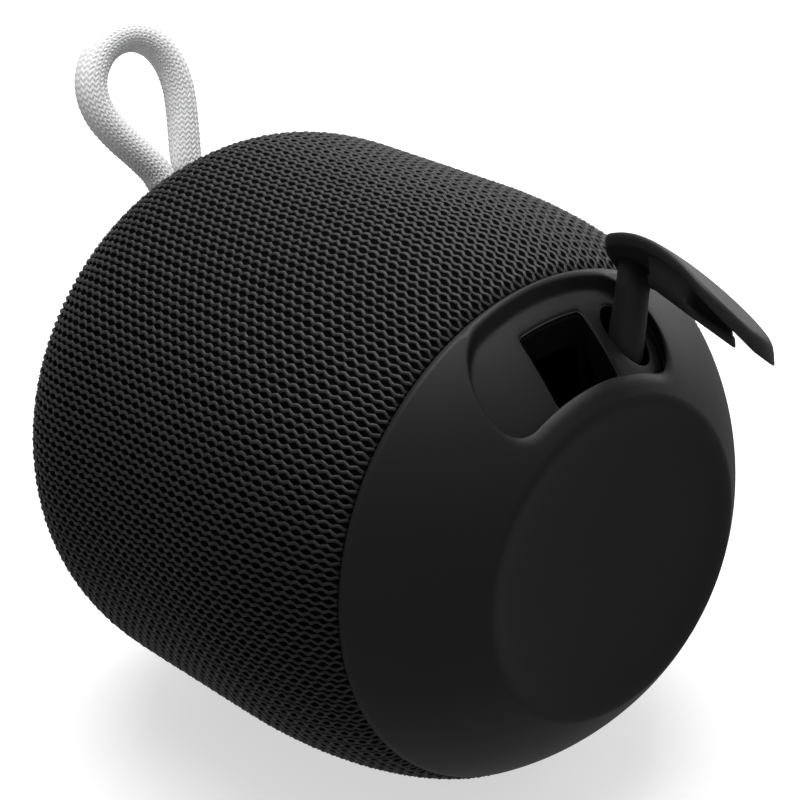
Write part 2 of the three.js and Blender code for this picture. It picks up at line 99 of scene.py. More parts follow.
# Knitted sleeve
YARNS = 240
STITCHES = 43
ROWS_PER_STITCH = 4
YARN_HALF_WIDTH = 0.3
YARN_SWAY = 0.25
YARN_RISE = 0.13
YARN_EDGE_DROP = 0.22                # how far a yarn's edges are below its middle
HOLE_DEPTH = 0.62
TOUCH_RISE = 0.26                    # how much shallower the gap is where two yarns touch
UNEVEN_SWAY = 0.1
UNEVEN_RISE = 0.15
UNEVEN_WIDTH = 0.06
HEM_ROWS = 2
HEM_DEPTH = 0.55
SLEEVE_THICKNESS = 1.0
INNER_ROW_STEP = 16                  # the smooth inside has one row for this many outside

# Keys on the top cap: place as (up, across), radius and mark
KEYS = {
    "play": ((0, 0), 6.5, None),
    "power": ((-17.5, 9), 4, None),
    "pairing": ((-17.5, -9), 4, None),
    "volume_up": ((9, 14.5), 5, "plus"),
    "volume_down": ((9, -14.5), 5, "minus"),
}
KEY_TOP = 101.8
KEY_GAP = 0.3
MARK_BARS = {"plus": ("up", "across"), "minus": ("across",)}
MARK_HALF_LENGTH = 2.2
MARK_HALF_WIDTH = 0.45
LIGHT_PLACE = (-20, 0)
LIGHT_HOLE = 1.3
FLAT_TOP_RADIUS = 26.5

# Carry loop: route as (sideways, up) from its exit, in its own plane
CORD_DIAMETER = 5.3
LOOP_EXIT = Vector((-98, -2.5, 35.6))
LOOP_RISE = Vector((-0.38, 0, 0.925))
LOOP_ROUTE = [
    (-2.9, 1.2), (-3.6, 3.6), (-5.6, 7.0), (-7.9, 10.5), (-9.7, 14.2), (-10.2, 17.8), (-9.1, 21.4),
    (-6.2, 24.5), (-2.4, 25.9), (1.2, 25.5), (4.2, 23.4), (5.9, 19.8), (6.1, 15.6), (5.3, 11.6),
    (4.2, 7.8), (3.1, 4.0), (2.8, 1.2),
]
LOOP_POINTS = 441
BRAID_COLUMNS = 32                   # half columns of the herringbone round the cord
BRAID_STEPS = 4                      # points across each half column
BRAID_ROW = 0.85
BRAID_LEAN = 0.9                     # rows that a strand climbs across a half column
BRAID_RELIEF = 0.26
BRAID_SINK = 0.18

AROUND = 240                         # columns round the base cap and the top cap
OUTLINE_ROWS = 24


# Frames

def place(points):
    """Points in millimetres from the barrel's foot and axis, as row frame metres."""
    return np.asarray(points, float) * MM + np.array([FOOT_X, 0, AXIS_Z])


def barrel_points(radius, height, angle):
    """Points on the barrel. The angle is counted from straight up towards +Y."""
    parts = np.broadcast_arrays(-height, radius * np.sin(angle), radius * np.cos(angle))
    return np.stack(parts, -1)


# Curves

def bezier(corners, steps):
    """Points along a cubic curve, with the unit direction at each."""
    t = np.linspace(0, 1, steps + 1)[:, None]
    a, b, c, d = (np.array(corner, float) for corner in corners)
    points = (1 - t) ** 3 * a + 3 * (1 - t) ** 2 * t * b + 3 * (1 - t) * t ** 2 * c + t ** 3 * d
    along = (1 - t) ** 2 * (b - a) + 2 * (1 - t) * t * (c - b) + t ** 2 * (d - c)
    return points, along / np.linalg.norm(along, axis=1, keepdims=True)


def inwards(along):
    """The direction into the barrel at points of its outline, in radius and height."""
    return np.stack([-along[:, 1], along[:, 0]], -1)


def resampled(points, count):
    """The same line as count evenly spaced points, and its length."""
    steps = np.linalg.norm(np.diff(points, axis=0), axis=1)
    travelled = np.concatenate([[0], np.cumsum(steps)])
    even = np.linspace(0, travelled[-1], count)
    columns = [np.interp(even, travelled, points[:, axis]) for axis in range(points.shape[1])]
    return np.stack(columns, -1), travelled[-1]


def base_surface_radius(height, depth):
    """Radius of the base's surface at a height, or of the surface that far inside it."""
    points, along = bezier(BASE_CURVE, 60)
    curve = points + inwards(along) * depth
    reach = 6
    curve = np.concatenate([[curve[0] - along[0] * reach], curve, [curve[-1] + along[-1] * reach]])
    return np.interp(height, curve[:, 1], curve[:, 0])


def on_base(flat, depth):
    """Flat (height, across) points set on the upper side of the base, that far under its surface."""
    height, across = flat[:, 0], flat[:, 1]
    depths = np.broadcast_to(depth, height.shape)
    radius = np.zeros(len(height))
    for level in np.unique(depths):
        chosen = depths == level
        radius[chosen] = base_surface_radius(height[chosen], level)
    return np.stack([-height, across, np.sqrt(radius ** 2 - across ** 2)], -1)


# Flat outlines: closed rings of points, counted anticlockwise

def round_ended(half_length, half_width, offset, bulge=0, centre=(PORT_HEIGHT, 0), ends=26, sides=30):
    """A round-ended outline, long across, moved outwards. A pair of offsets is for its high and low sides."""
    high, low = offset if isinstance(offset, tuple) else (offset, offset)
    start = half_length - half_width
    turn = np.linspace(0, pi, ends + 1)
    right = np.stack([np.cos(turn), np.sin(turn)], -1)
    left = -right
    run = np.linspace(1, -1, sides + 1)[1:-1] * start
    ring = np.concatenate([
        right * half_width + [0, start],
        np.stack([np.full(len(run), -half_width), run], -1),
        left * half_width - [0, start],
        np.stack([np.full(len(run), half_width), -run], -1),
    ])
    normal = np.concatenate([
        right,
        np.tile([-1.0, 0.0], (len(run), 1)),
        left,
        np.tile([1.0, 0.0], (len(run), 1)),
    ])
    bow = bulge * np.clip(normal[:, 0], 0, 1) * (1 - (ring[:, 1] / half_length) ** 2)
    ring = ring + normal * shared(high, low, normal)[:, None] + centre
    ring[:, 0] += bow
    return ring


def shared(high, low, normal):
    """A value that is high round an outline and goes over to low on its low side."""
    share = np.clip(-normal[:, 0], 0, 1)
    return high * (1 - share) + low * share


def rounded_box(low, high, left, right, corner, offset, bend=6, side=8):
    """A rectangle in height and across with rounded corners, moved outwards by offset."""
    centres = [(high - corner, right - corner), (low + corner, right - corner),
               (low + corner, left + corner), (high - corner, left + corner)]
    arcs = []
    for index, centre in enumerate(centres):
        turn = np.linspace(index * pi / 2, (index + 1) * pi / 2, bend + 1)
        arcs.append(np.stack([np.cos(turn), np.sin(turn)], -1) * (corner + offset) + centre)
    step = np.linspace(0, 1, side + 1)[1:-1, None]
    ring = []
    for arc, following in zip(arcs, arcs[1:] + arcs[:1]):
        ring.append(arc)
        ring.append(arc[-1] * (1 - step) + following[0] * step)
    return np.concatenate(ring)


def circle(centre, radius, count):
    """A ring of evenly spaced points."""
    turn = np.arange(count) * tau / count
    return np.stack([np.cos(turn), np.sin(turn)], -1) * radius + centre


def facing_out(ring):
    """The unit direction out of a ring at each of its points."""
    along = np.roll(ring, -1, axis=0) - np.roll(ring, 1, axis=0)
    return np.stack([along[:, 1], -along[:, 0]], -1) / np.linalg.norm(along, axis=1, keepdims=True)


def clear_of(points, ring, distance):
    """Which points are further than distance from every point of a ring."""
    gaps = np.linalg.norm(points[:, None, :] - ring[None, :, :], axis=2)
    return gaps.min(axis=1) > distance


def inside(points, ring):
    """Which points are inside a closed ring."""
    x, y = points[:, :1], points[:, 1:]
    ax, ay = ring[:, 0], ring[:, 1]
    bx, by = np.roll(ax, -1), np.roll(ay, -1)
    crosses = (ay > y) != (by > y)
    rise = np.where(by == ay, 1e-12, by - ay)
    hits = crosses & (x < ax + (y - ay) / rise * (bx - ax))
    return hits.sum(axis=1) % 2 == 1


# Meshes

class Shape:
    """Points and faces in millimetres, gathered piece by piece and welded at the end."""

    def __init__(self):
        self.points = []
        self.faces = []
        self.kinds = []
        self.count = 0

    def add(self, points, faces, kind=0):
        """Adds points and the faces between them. The kind picks the material."""
        points = np.asarray(points, float)
        self.points.append(points)
        self.faces += [[corner + self.count for corner in face] for face in faces]
        self.kinds += [kind] * len(faces)
        self.count += len(points)

    def grid(self, rows, skip=None, kind=0, close_rows=False):
        """Quads over rows of points, each row a closed ring. skip(row, column) leaves a quad out."""
        rows = np.asarray(rows, float)
        down, across = rows.shape[:2]
        faces = []
        for row in range(down if close_rows else down - 1):
            for column in range(across):
                if skip and skip(row, column):
                    continue
                right = (column + 1) % across
                below = (row + 1) % down
                faces.append([row * across + column, row * across + right,
                              below * across + right, below * across + column])
        self.add(rows.reshape(-1, 3), faces, kind)

    def sheet(self, loops, loose, lift, boundary=None, holes=(), flip=False):
        """Triangles over rings and loose points, each with a depth, set in place by lift(flat, depths)."""
        rings = [*loops] if boundary is None else [boundary, *loops]
        flat, depths, edges = [], [], []
        start = 0
        for ring, depth in rings:
            count = len(ring)
            flat.append(ring)
            depths.append(np.broadcast_to(depth, count))
            edges += [(start + i, start + (i + 1) % count) for i in range(count)]
            start += count
        for points, depth in loose:
            flat.append(points)
            depths.append(np.broadcast_to(depth, len(points)))
        flat = np.concatenate(flat)
        depths = np.concatenate(depths)
        made = delaunay_2d_cdt([Vector(p) for p in flat], edges, [], 0, 1e-6, True)
        source = np.array([origins[0] for origins in made[3]])
        faces = np.array([list(face) for face in made[2]])
        chosen = source[faces]
        middles = flat[chosen].mean(axis=1)
        keep = np.ones(len(faces), bool)
        for hole in holes:
            keep &= ~inside(middles, hole)
        corners = chosen[keep]
        if flip:
            corners = corners[:, ::-1]
        self.add(lift(flat, depths), corners.tolist())

    def moved(self, matrix):
        """The same shape, moved by a matrix."""
        turn = np.array(matrix)
        self.points = [points @ turn[:3, :3].T + turn[:3, 3] for points in self.points]
        return self

    def take(self, other):
        """Adds another shape to this one."""
        self.points += other.points
        self.faces += [[corner + self.count for corner in face] for face in other.faces]
        self.kinds += other.kinds
        self.count += other.count
        return self

    def build(self, name, materials, weld=1e-4):
        """The finished object, in the row frame."""
        points = place(np.concatenate(self.points))
        mesh = bpy.data.meshes.new(name)
        mesh.from_pydata(points.tolist(), [], self.faces)
        for material in materials:
            mesh.materials.append(material)
        mesh.polygons.foreach_set("material_index", np.array(self.kinds, np.int32))
        mesh.shade_smooth()
        piece = bpy.data.objects.new(name, mesh)
        bpy.context.scene.collection.objects.link(piece)
        if weld:
            welded(mesh, weld * MM)
        mesh.validate()
        mesh.update()
        return piece


def welded(mesh, distance):
    """Joins the mesh's points that lie closer than distance."""
    work = bmesh.new()
    work.from_mesh(mesh)
    bmesh.ops.remove_doubles(work, verts=work.verts, dist=distance)
    work.to_mesh(mesh)
    work.free()


def turned(profile, count, matrix=Matrix.Identity(4)):
    """A profile of (radius, along) pairs turned about Z, as rows of points, moved by a matrix."""
    turn = np.arange(count) * tau / count
    profile = np.asarray(profile, float)
    radius, along = profile[:, :1], profile[:, 1:]
    parts = np.broadcast_arrays(radius * np.cos(turn), radius * np.sin(turn), along)
    rows = np.stack(parts, -1)
    move = np.array(matrix)
    return rows @ move[:3, :3].T + move[:3, 3]


# Materials

class Nodes:
    """A material's node tree, with short ways to add and link nodes."""

    def __init__(self, name):
        self.material = bpy.data.materials.new(name)
        self.material.use_nodes = True
        self.tree = self.material.node_tree
        self.shader = self.tree.nodes["Principled BSDF"]
        self.place = self.add("ShaderNodeTexCoord").outputs["Object"]

    def add(self, kind):
        return self.tree.nodes.new(kind)

    def link(self, start, end):
        self.tree.links.new(start, end)

    def noise(self, scale, detail=3):
        """A random 0 to 1 pattern, with scale patches to the metre."""
        node = self.add("ShaderNodeTexNoise")
        node.inputs["Scale"].default_value = scale
        node.inputs["Detail"].default_value = detail
        node.inputs["Roughness"].default_value = 0.55
        self.link(self.place, node.inputs["Vector"])
        return node.outputs["Fac"]

    def spread(self, value, low, high):
        """A 0 to 1 pattern stretched to run from low to high."""
        node = self.add("ShaderNodeMapRange")
        node.inputs["From Min"].default_value = 0.3
        node.inputs["From Max"].default_value = 0.7
        node.inputs["To Min"].default_value = low
        node.inputs["To Max"].default_value = high
        self.link(value, node.inputs["Value"])
        return node.outputs["Result"]

    def ramp(self, value, dark, light):
        """A 0 to 1 pattern as a colour between dark and light."""
        node = self.add("ShaderNodeValToRGB")
        node.color_ramp.elements[0].position = 0.3
        node.color_ramp.elements[1].position = 0.7
        node.color_ramp.elements[0].color = (*dark, 1)
        node.color_ramp.elements[1].color = (*light, 1)
        self.link(value, node.inputs["Fac"])
        return node.outputs["Color"]

    def bump(self, value, distance, strength=1.0):
        """A 0 to 1 pattern as relief, that many metres high."""
        node = self.add("ShaderNodeBump")
        node.inputs["Strength"].default_value = strength
        node.inputs["Distance"].default_value = distance
        self.link(value, node.inputs["Height"])
        return node.outputs["Normal"]

    def set(self, **values):
        """Sets the shader's own sockets, named with _ for a space."""
        for key, value in values.items():
            self.shader.inputs[key.replace("_", " ")].default_value = value


def grained(name, dark, light, roughness, grain=4000, relief=0.02, mottle=60, **shader):
    """Moulded or cast surface: mottled colour, uneven gloss and a fine raised grain."""
    nodes = Nodes(name)
    patches = nodes.noise(mottle, detail=4)
    fine = nodes.noise(grain, detail=4)
    nodes.link(nodes.ramp(patches, dark, light), nodes.shader.inputs["Base Color"])
    nodes.link(nodes.spread(fine, *roughness), nodes.shader.inputs["Roughness"])
    nodes.link(nodes.bump(fine, relief * MM), nodes.shader.inputs["Normal"])
    nodes.set(**shader)
    return nodes.material


def grey(value, tint=0.0):
    """A grey, with its blue raised by the tint."""
    return (value, value, value * (1 + tint))


def rubber(name, dark=0.0068, light=0.0086, roughness=(0.46, 0.58), specular=0.3):
    """Matt black moulded rubber."""
    return grained(name, grey(dark, 0.06), grey(light, 0.06), roughness, grain=5200, relief=0.012,
                   mottle=45, Specular_IOR_Level=specular)


def yarn_material():
    """Twisted synthetic yarn: glossy filaments with a little fuzz."""
    nodes = Nodes("knit_yarn")
    patches = nodes.noise(700, detail=3)
    filaments = nodes.noise(9000, detail=2)
    black = nodes.ramp(patches, grey(0.009, 0.05), grey(0.018, 0.05))
    nodes.link(black, nodes.shader.inputs["Base Color"])
    nodes.link(nodes.spread(filaments, 0.36, 0.56), nodes.shader.inputs["Roughness"])
    nodes.link(nodes.bump(filaments, 0.05 * MM, 0.7), nodes.shader.inputs["Normal"])
    nodes.set(Sheen_Weight=0.1, Sheen_Roughness=0.4, Specular_IOR_Level=0.36)
    return nodes.material


def cord_material():
    """White braided polyester, with fine filaments and a soft sheen."""
    nodes = Nodes("braid_white")
    patches = nodes.noise(420, detail=3)
    filaments = nodes.noise(7000, detail=3)
    white = nodes.ramp(patches, (0.88, 0.885, 0.89), (0.95, 0.95, 0.95))
    nodes.link(white, nodes.shader.inputs["Base Color"])
    nodes.link(nodes.spread(filaments, 0.6, 0.85), nodes.shader.inputs["Roughness"])
    nodes.link(nodes.bump(filaments, 0.06 * MM, 0.6), nodes.shader.inputs["Normal"])
    nodes.set(Sheen_Weight=0.2, Sheen_Roughness=0.5)
    return nodes.material


RUBBER = rubber("base_rubber")
# Painted shade: a near-black, dull copy of the base's rubber for the deep walls of the well and the bore
PIT_PAINTED_SHADE = rubber("pit_painted_shade_rubber", 0.0015, 0.002, (0.75, 0.9), specular=0.1)
DOOR_RUBBER = rubber("door_rubber", 0.016, 0.021)
TOP_RUBBER = rubber("top_rubber")
KEY_RUBBER = rubber("key_rubber", 0.012, 0.015)
YARN = yarn_material()
# Near-black for the knit's gaps: partly the real dark backing seen through the holes, partly painted shade on
# the yarns' sides going down into them
BACKING_AND_GAP_SHADE = grained("knit_backing_and_gap_shade", grey(0.0008), grey(0.0014), (0.8, 0.95), grain=2500, relief=0.05,
                  Specular_IOR_Level=0.05)
BRAID = cord_material()
LENS = grained("light_lens", (0.55, 0.58, 0.60), (0.62, 0.65, 0.67), (0.2, 0.35), grain=2000, relief=0.004)


# Camera, looking down from the base's end at the port and the open door

CAMERA_PLACE = (208.2, -208.1, 173.6)
CAMERA_BACK = (0.695, -0.567, 0.443)
CAMERA_ROLL = radians(-4.35)
CAMERA_LENS = 104.8


def add_camera():
    data = bpy.data.cameras.new("camera")
    data.sensor_width = 36
    data.lens = CAMERA_LENS
    data.clip_start = 0.01
    data.clip_end = 20
    camera = bpy.data.objects.new("camera", data)
    bpy.context.scene.collection.objects.link(camera)
    level = Vector(CAMERA_BACK).normalized().to_track_quat("Z", "Y").to_matrix().to_4x4()
    roll = Matrix.Rotation(CAMERA_ROLL, 4, "Z")
    camera.matrix_world = Matrix.Translation(Vector(place(CAMERA_PLACE))) @ level @ roll
    bpy.context.scene.camera = camera


# Carry loop

def smooth_route(corners, count):
    """Evenly spaced points on a smooth line through the corners."""
    corners = np.array(corners, float)
    ends = np.concatenate([[2 * corners[0] - corners[1]], corners, [2 * corners[-1] - corners[-2]]])
    line = []
    for a, b, c, d in zip(ends, ends[1:], ends[2:], ends[3:]):
        for t in np.linspace(0, 1, 40, endpoint=False):
            line.append(0.5 * (2 * b + (c - a) * t + (2 * a - 5 * b + 4 * c - d) * t ** 2
                               + (3 * b - a - 3 * c + d) * t ** 3))
    line.append(corners[-1])
    return resampled(np.array(line), count)


def braid_height(turn, travelled):
    """How far the braid's surface is above or below its mean, as a herringbone of strands."""
    column = turn / tau * BRAID_COLUMNS
    side = column % 1
    lean = np.where(np.floor(column) % 2 == 0, 1.0, -1.0)
    row = travelled / BRAID_ROW + lean * (side - 0.5) * BRAID_LEAN
    strand = 0.5 + 0.5 * np.cos(tau * row)
    crown = 0.45 + 0.55 * np.sin(pi * side)
    return BRAID_RELIEF * np.sqrt(strand) * crown - BRAID_SINK


def carry_loop():
    rise = LOOP_RISE.normalized()
    corners = [LOOP_EXIT + rise * up + Vector((0, side, 0)) for side, up in LOOP_ROUTE]
    route, length = smooth_route(corners, LOOP_POINTS)
    step = length / (len(route) - 1)
    along = np.gradient(route, axis=0)
    along /= np.linalg.norm(along, axis=1, keepdims=True)
    out = np.cross(along, np.array(LOOP_RISE.cross(Vector((0, 1, 0))).normalized()))
    out /= np.linalg.norm(out, axis=1, keepdims=True)
    side = np.cross(along, out)
    columns = BRAID_STEPS * BRAID_COLUMNS
    turn = np.arange(columns) * tau / columns
    travelled = np.arange(len(route))[:, None] * step
    radius = CORD_DIAMETER / 2 + braid_height(turn[None, :], travelled)
    rows = (route[:, None, :]
            + out[:, None, :] * (radius * np.cos(turn))[:, :, None]
            + side[:, None, :] * (radius * np.sin(turn))[:, :, None])
    shape = Shape()
    shape.grid(rows)
    for ring in (rows[0][::-1], rows[-1]):
        shape.add(ring, [list(range(len(ring)))])
    piece = shape.build("carry_loop_braid", [BRAID])
    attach(piece, "root")
    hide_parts("carry_loop")


# Knitted sleeve

def side_outline():
    """The sleeve's outline from the base seam to the top seam, evenly spaced, with its directions."""
    lower = bezier(LOWER_CURVE, 200)[0]
    upper = bezier(UPPER_CURVE, 200)[0]
    rows = STITCHES * ROWS_PER_STITCH + 1
    outline = resampled(np.concatenate([lower, upper]), rows)[0]
    along = np.gradient(outline, axis=0)
    along /= np.linalg.norm(along, axis=1, keepdims=True)
    return outline, along


def knit_columns(radius):
    """How far sideways and how high each point of the knit is: three to a yarn, then one in the gap."""
    rng = np.random.default_rng(11)
    rows = len(radius)
    phase = np.arange(rows)[:, None] * tau / ROWS_PER_STITCH
    sign = np.where(np.arange(YARNS)[None, :] % 2 == 0, 1.0, -1.0)
    scale = radius / BODY_RADIUS
    uneven = 1 + UNEVEN_SWAY * rng.standard_normal((rows, YARNS))
    sway = YARN_SWAY * scale * sign * np.sin(phase) * uneven
    rise = YARN_RISE * np.cos(phase) * (1 + UNEVEN_RISE * rng.standard_normal((rows, YARNS)))
    half = YARN_HALF_WIDTH * scale * (1 + UNEVEN_WIDTH * rng.standard_normal((rows, YARNS)))
    touching = 0.5 + 0.5 * sign * np.sin(phase)
    edge = rise - YARN_EDGE_DROP
    gap = -HOLE_DEPTH + TOUCH_RISE * touching
    sideways = np.stack([sway - half, sway, sway + half, np.zeros_like(sway)], -1)
    lifts = np.stack([edge, rise, edge, gap], -1)
    hems = np.clip(np.minimum(np.arange(rows), np.arange(rows)[::-1]) / HEM_ROWS, 0, 1)[:, None, None]
    return sideways, lifts * hems - HEM_DEPTH * (1 - hems)


def sleeve():
    """Wavy yarns along the barrel, neighbours swaying opposite ways, with dark holes between them: near-black
    faces that are partly the dark backing, partly painted shade on the yarns' sides.
    """
    outline, along = side_outline()
    outward = -inwards(along)
    rows = len(outline)
    radius = outline[:, :1]
    sideways, lifts = knit_columns(radius)
    middle = np.broadcast_to((np.arange(YARNS)[None, :] * tau / YARNS)[:, :, None], lifts.shape).copy()
    middle[:, :, 3] += pi / YARNS
    angle = (middle + sideways / radius[:, :, None]).reshape(rows, -1)
    lifts = lifts.reshape(rows, -1)
    surface = barrel_points(radius + outward[:, :1] * lifts, outline[:, 1:] + outward[:, 1:] * lifts, angle)
    lining = (outline + outward * -SLEEVE_THICKNESS)[::-INNER_ROW_STEP]
    inner = barrel_points(lining[:, :1], lining[:, 1:], angle[0][None, :])
    sheet = np.concatenate([surface, inner])
    sheet[:, :, 2] = np.maximum(sheet[:, :, 2], -AXIS_Z / MM)
    shape = Shape()
    shape.grid(sheet, close_rows=True)
    columns = 4 * YARNS
    # The gap faces get the near-black backing: partly the real backing, partly painted shade on the yarns'
    # sides
    quad = np.arange(len(shape.faces))
    in_gap = quad % columns % 4 >= 2
    in_lining = quad // columns >= rows - 1
    shape.kinds = np.where(in_gap | in_lining, 1, 0).tolist()
    piece = shape.build("knit_sleeve", [YARN, BACKING_AND_GAP_SHADE], weld=0)
    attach(piece, "root")
    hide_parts("grille_fabric")


# Base cap

SEAM_EDGE = [(40.15, 14.86), (39.6, 14.9), (38.4, 14.9)]
PATCH_COLUMNS = 25                   # columns either side of straight up that the port's patch takes
PATCH_LOW_ROW = 1
PATCH_RIM = [                        # offset and depth on the high side, then on the low side
    (0.45, 0.0, 0.8, 0.0), (0.24, 0.03, 0.4, 0.06), (0.1, 0.1, 0.0, 0.2), (0.02, 0.25, -0.4, 0.38),
    (0.0, 0.62, -0.75, 0.55), (-0.02, 1.05, -0.88, 0.75), (-0.05, 1.45, -0.93, 1.2),
    (-0.14, 1.63, -0.97, 1.6), (-0.38, FLOOR_DEPTH, -1.03, FLOOR_DEPTH),
    (-0.62, FLOOR_DEPTH, -1.1, FLOOR_DEPTH),
]
HOLE_RIM = [(0.35, 0.0), (0.16, 0.04), (0.05, 0.13), (0.0, 0.3)]   # offset, and depth below the floor
OUTER_SPACING = 0.5                  # how far the plain points stay from the recess's outline
INNER_SPACING = 0.45                 # and from the rings on its floor
WELL_LIP = 0.7                       # how far down the well's walls have the base's own rubber, above the painted shade
# how far down the bore's wall has the base's own rubber, above the painted shade
BORE_LIP = 0.5
BORE_WALL = (2.5, 6.5)               # how far down the bore's rings are


def base_lattice(rows, step):
    """The base's rows and columns that the port takes the place of, as flat points."""
    columns = np.arange(-PATCH_COLUMNS, PATCH_COLUMNS + 1)
    height = np.broadcast_to(rows[:, 1:], (len(rows), len(columns)))
    across = rows[:, :1] * np.sin(columns * step)[None, :]
    return np.stack([height, across], -1)


def recess_rings():
    """The recess's rim and wall, from the base's surface down to the floor."""
    rings = []
    for high, high_depth, low, low_depth in PATCH_RIM:
        ring = round_ended(PORT_HALF_LENGTH, PORT_HALF_WIDTH, (high, low), PORT_BULGE)
        rings.append((ring, shared(high_depth, low_depth, facing_out(ring))))
    return rings


def port_patch(shape, rows, step):
    """The part of the base round the port: its recess, well and bore."""
    lattice = base_lattice(rows, step)
    boundary = np.concatenate([
        lattice[0, :-1], lattice[:-1, -1], lattice[-1, :0:-1], lattice[:0:-1, 0],
    ])[::-1]
    loose = lattice[1:-1, 1:-1].reshape(-1, 2)
    rim = recess_rings()
    well = [(rounded_box(*WELL, WELL_CORNER, offset), FLOOR_DEPTH + depth) for offset, depth in HOLE_RIM]
    bore = [(circle(BORE_PLACE, BORE_RADIUS + offset, 48), FLOOR_DEPTH + depth) for offset, depth in HOLE_RIM]
    outside = ~inside(loose, rim[0][0]) & clear_of(loose, rim[0][0], OUTER_SPACING)
    floor = inside(loose, rim[-1][0]) & clear_of(loose, rim[-1][0], INNER_SPACING)
    for opening in (well, bore):
        floor &= ~inside(loose, opening[0][0]) & clear_of(loose, opening[0][0], INNER_SPACING)
    shape.sheet(
        [*rim, *well, *bore],
        [(loose[outside], 0.0), (loose[floor], FLOOR_DEPTH)],
        on_base, boundary=(boundary, 0.0), holes=(well[-1][0], bore[-1][0]), flip=True,
    )
    well_walls(shape, on_base(*well[-1]))
    bore_walls(shape, on_base(*bore[-1]))


def well_walls(shape, top):
    """The well's walls, straight down from its mouth, with painted shade in near-black below their lip."""
    lip = top - [0, 0, WELL_LIP]
    bottom = top.copy()
    bottom[:, 2] = WELL_BOTTOM
    shape.grid([top, lip])
    shape.grid([lip, bottom], kind=1)


def bore_walls(shape, mouth):
    """The bore's wall, along the post's line, with painted shade in near-black below its lip."""
    line = np.array(POST_LINE)
    lip = mouth - line * BORE_LIP
    shape.grid([mouth, lip])
    shape.grid([lip, *[mouth - line * depth for depth in BORE_WALL]], kind=1)


def base_cap():
    dish = np.array(DISH, float)
    outer = bezier(BASE_CURVE, OUTLINE_ROWS)[0]
    angles = np.arange(AROUND) * tau / AROUND

    def rows_of(profile):
        return barrel_points(profile[:, :1], profile[:, 1:], angles[None, :])

    def in_patch(row, column):
        signed = (column + AROUND // 2) % AROUND - AROUND // 2
        return row >= PATCH_LOW_ROW and -PATCH_COLUMNS <= signed < PATCH_COLUMNS

    shape = Shape()
    shape.grid(rows_of(dish))
    shape.grid(rows_of(outer), skip=in_patch)
    shape.grid(rows_of(np.concatenate([outer[-1:], SEAM_EDGE])))
    port_patch(shape, outer[PATCH_LOW_ROW:], angles[1])
    piece = shape.build("base_cap_rubber", [RUBBER, PIT_PAINTED_SHADE])
    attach(piece, "root")
    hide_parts("base_cap")


# Door

def opened():
    """How the closed door's cover and plug move to stand open on the post."""
    return (
        Matrix.Translation(POST)
        @ Matrix.Translation(POST_LINE * DOOR_LIFT)
        @ Matrix.Rotation(DOOR_ROLL, 4, "X")
        @ Matrix.Rotation(DOOR_TILT, 4, "Y")
        @ Matrix.Rotation(-POST_LEAN, 4, "X")
        @ Matrix.Rotation(DOOR_SWIVEL, 4, "Z")
        @ Matrix.Rotation(POST_LEAN, 4, "X")
        @ Matrix.Translation(-POST)
    )


COVER_TOP = [(-1.0, 0.0), (-0.55, 0.05), (-0.24, 0.2), (-0.07, 0.45), (0.0, 0.9)]   # offset, depth
COVER_UNDERSIDE = [(-0.35, DOOR_THICKNESS), (-0.12, 1.77), (-0.03, 1.68), (0.0, 1.5), (0.0, 0.9)]
COVER_SPACING = 0.8
COVER_EDGE_SPACING = 0.4
PLUG_TOP_DEPTH = 1.5
PLUG_WALL_THICKNESS = 1.3
PLUG_FOOT = (29.6, 0.951, 0.147)     # level at its high side, then its slopes with height and across
PLUG_WALL = [                        # offset, and rise above the foot
    (0.0, 1.9), (0.2, 1.75), (0.28, 1.5), (0.26, 0.4), (0.12, 0.1), (-0.2, 0.0), (-0.9, 0.0), (-1.2, 0.15),
    (-PLUG_WALL_THICKNESS, 0.6),
]
POST_PROFILE = [                     # radius, and place along the post's line
    (0, POST_FOOT), (1.7, POST_FOOT), (2.0, POST_FOOT + 0.3), (2.0, POST_FOOT + 0.8),
    (1.4, POST_FOOT + 0.9), (1.4, POST_FOOT + 3.2), (2.0, POST_FOOT + 3.3),
    (POST_RADIUS, POST_FOOT + 3.6), (POST_RADIUS, -9), (2.7, -6.5), (2.75, -4), (2.6, 0), (2.5, 3.5),
]
POST_TOP_DEPTH = 1.0                 # how far inside the cover the post ends


def on_door(flat, depth):
    """Points of the soft door as it hangs open: set as on the base, then straighter and drooping."""
    points = on_base(flat, depth)
    low = np.clip((PORT_HEIGHT - flat[:, 0]) / PORT_HALF_WIDTH, 0, 1)
    reach = np.clip(POST.y - flat[:, 1], 0, None)
    straighter = np.where(flat[:, 1] > 0, *DOOR_STRAIGHTER)
    points[:, 2] += straighter * low * (flat[:, 1] / PORT_HALF_LENGTH) ** 2
    points[:, 2] -= DOOR_DROOP * (reach / DOOR_REACH) ** 2
    return points


def door_cover():
    """The cover: a rounded top skin and an underside skin that meet round its edge."""
    half_length = PORT_HALF_LENGTH - DOOR_GAP
    half_width = PORT_HALF_WIDTH - DOOR_GAP
    shape = Shape()
    heights = np.arange(PORT_HEIGHT - half_width, PORT_HEIGHT + half_width, COVER_SPACING)
    across = np.arange(-half_length, half_length, COVER_SPACING)
    lattice = np.stack(np.meshgrid(heights, across), -1).reshape(-1, 2)
    for flip, edge in ((True, COVER_TOP), (False, COVER_UNDERSIDE)):
        rings = [on_door(round_ended(half_length, half_width, offset), depth) for offset, depth in edge]
        shape.grid(rings if flip else [ring[::-1] for ring in rings])
        offset, depth = edge[0]
        flat = round_ended(half_length, half_width, offset)
        core = lattice[inside(lattice, flat) & clear_of(lattice, flat, COVER_EDGE_SPACING)]
        shape.sheet([(flat, depth)], [(core, depth)], on_door, flip=flip)
    return shape


